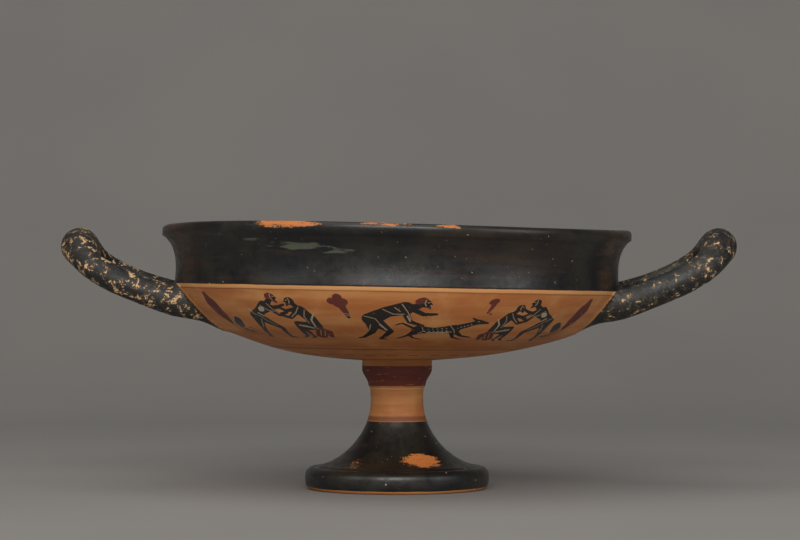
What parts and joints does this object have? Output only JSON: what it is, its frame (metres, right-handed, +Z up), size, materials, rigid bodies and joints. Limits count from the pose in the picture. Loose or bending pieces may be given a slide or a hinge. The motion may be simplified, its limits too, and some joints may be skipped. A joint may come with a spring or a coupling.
{
  "type": "kylix drinking cup",
  "caption": "Wide shallow stemmed drinking cup with a concave lip, a flaring foot and two upswept loop handles, painted in black-figure.",
  "frame": {"origin": "centre of the foot's resting plane, on the axis of the stem", "axes": "+Z up along the stem, +X and -X towards the two handles, -Y towards the main painted side"},
  "size_m": [0.3039, 0.2104, 0.1185],
  "materials": {
    "black_gloss_clay": "black-gloss slip over fired orange clay, with a reserved band of black, dark-red and white figures, worn at the rim, foot and handles"
  },
  "bodies": {
    "root": {"cup": "black_gloss_clay"}
  },
  "joints": []
}
